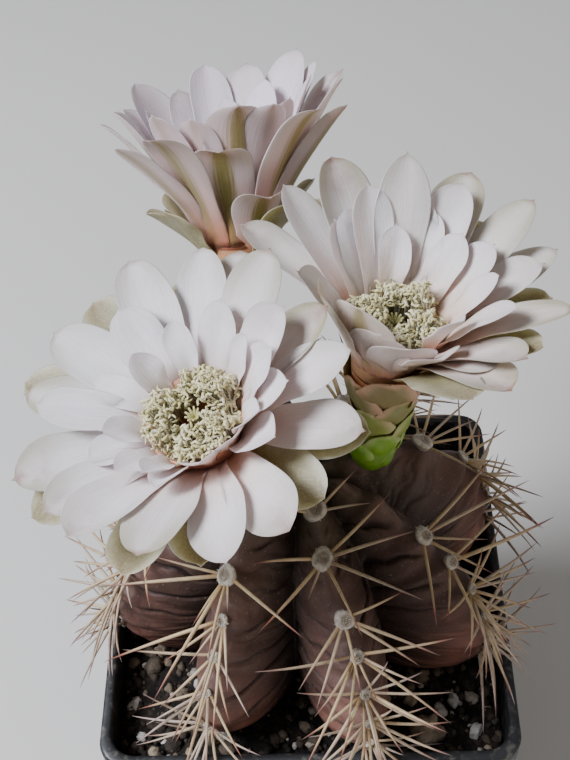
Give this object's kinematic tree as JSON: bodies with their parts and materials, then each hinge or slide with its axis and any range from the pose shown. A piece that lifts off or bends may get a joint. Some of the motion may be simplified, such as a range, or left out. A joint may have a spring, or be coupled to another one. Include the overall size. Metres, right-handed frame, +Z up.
{
  "type": "potted flowering cactus",
  "caption": "Low ribbed cactus with curved spines and wide open blooms on scaly tubes, standing in gritty soil in a tapered square pot with drain holes.",
  "frame": {"origin": "middle of the pot's underside", "axes": "+Z up, +Y towards the pot's back wall as the picture sees it, +X to the picture's right"},
  "size_m": [0.0958, 0.1152, 0.1713],
  "materials": {
    "pot_plastic": "black moulded plastic, satin",
    "soil_grit": "dark soil with mineral grit",
    "stem_skin": "dull brown-purple plant skin; wood stands in for plant tissue",
    "bloom_green": "fresh green flower tube with broad scales; wood stands in for plant tissue",
    "tepal_olive": "thin olive outer tepals; paper stands in for petal tissue",
    "petal_white": "white petals, faintly lilac; paper stands in for petal tissue",
    "stamen_cream": "cream stamens; paper stands in for flower tissue",
    "pistil_cream": "pale green style and stigma; paper stands in for flower tissue"
  },
  "bodies": {
    "root": {"pot": "pot_plastic", "soil": "soil_grit", "stem": "stem_skin", "bloom_left_tube": "bloom_green", "bloom_left_tepals": "tepal_olive", "bloom_left_petals": "petal_white", "bloom_left_stamens": "stamen_cream", "bloom_left_pistil": "pistil_cream", "bloom_right_tube": "bloom_green", "bloom_right_tepals": "tepal_olive", "bloom_right_petals": "petal_white", "bloom_right_stamens": "stamen_cream", "bloom_right_pistil": "pistil_cream", "bloom_back_tube": "bloom_green", "bloom_back_tepals": "tepal_olive", "bloom_back_petals": "petal_white", "bloom_back_stamens": "stamen_cream", "bloom_back_pistil": "pistil_cream"}
  },
  "joints": []
}
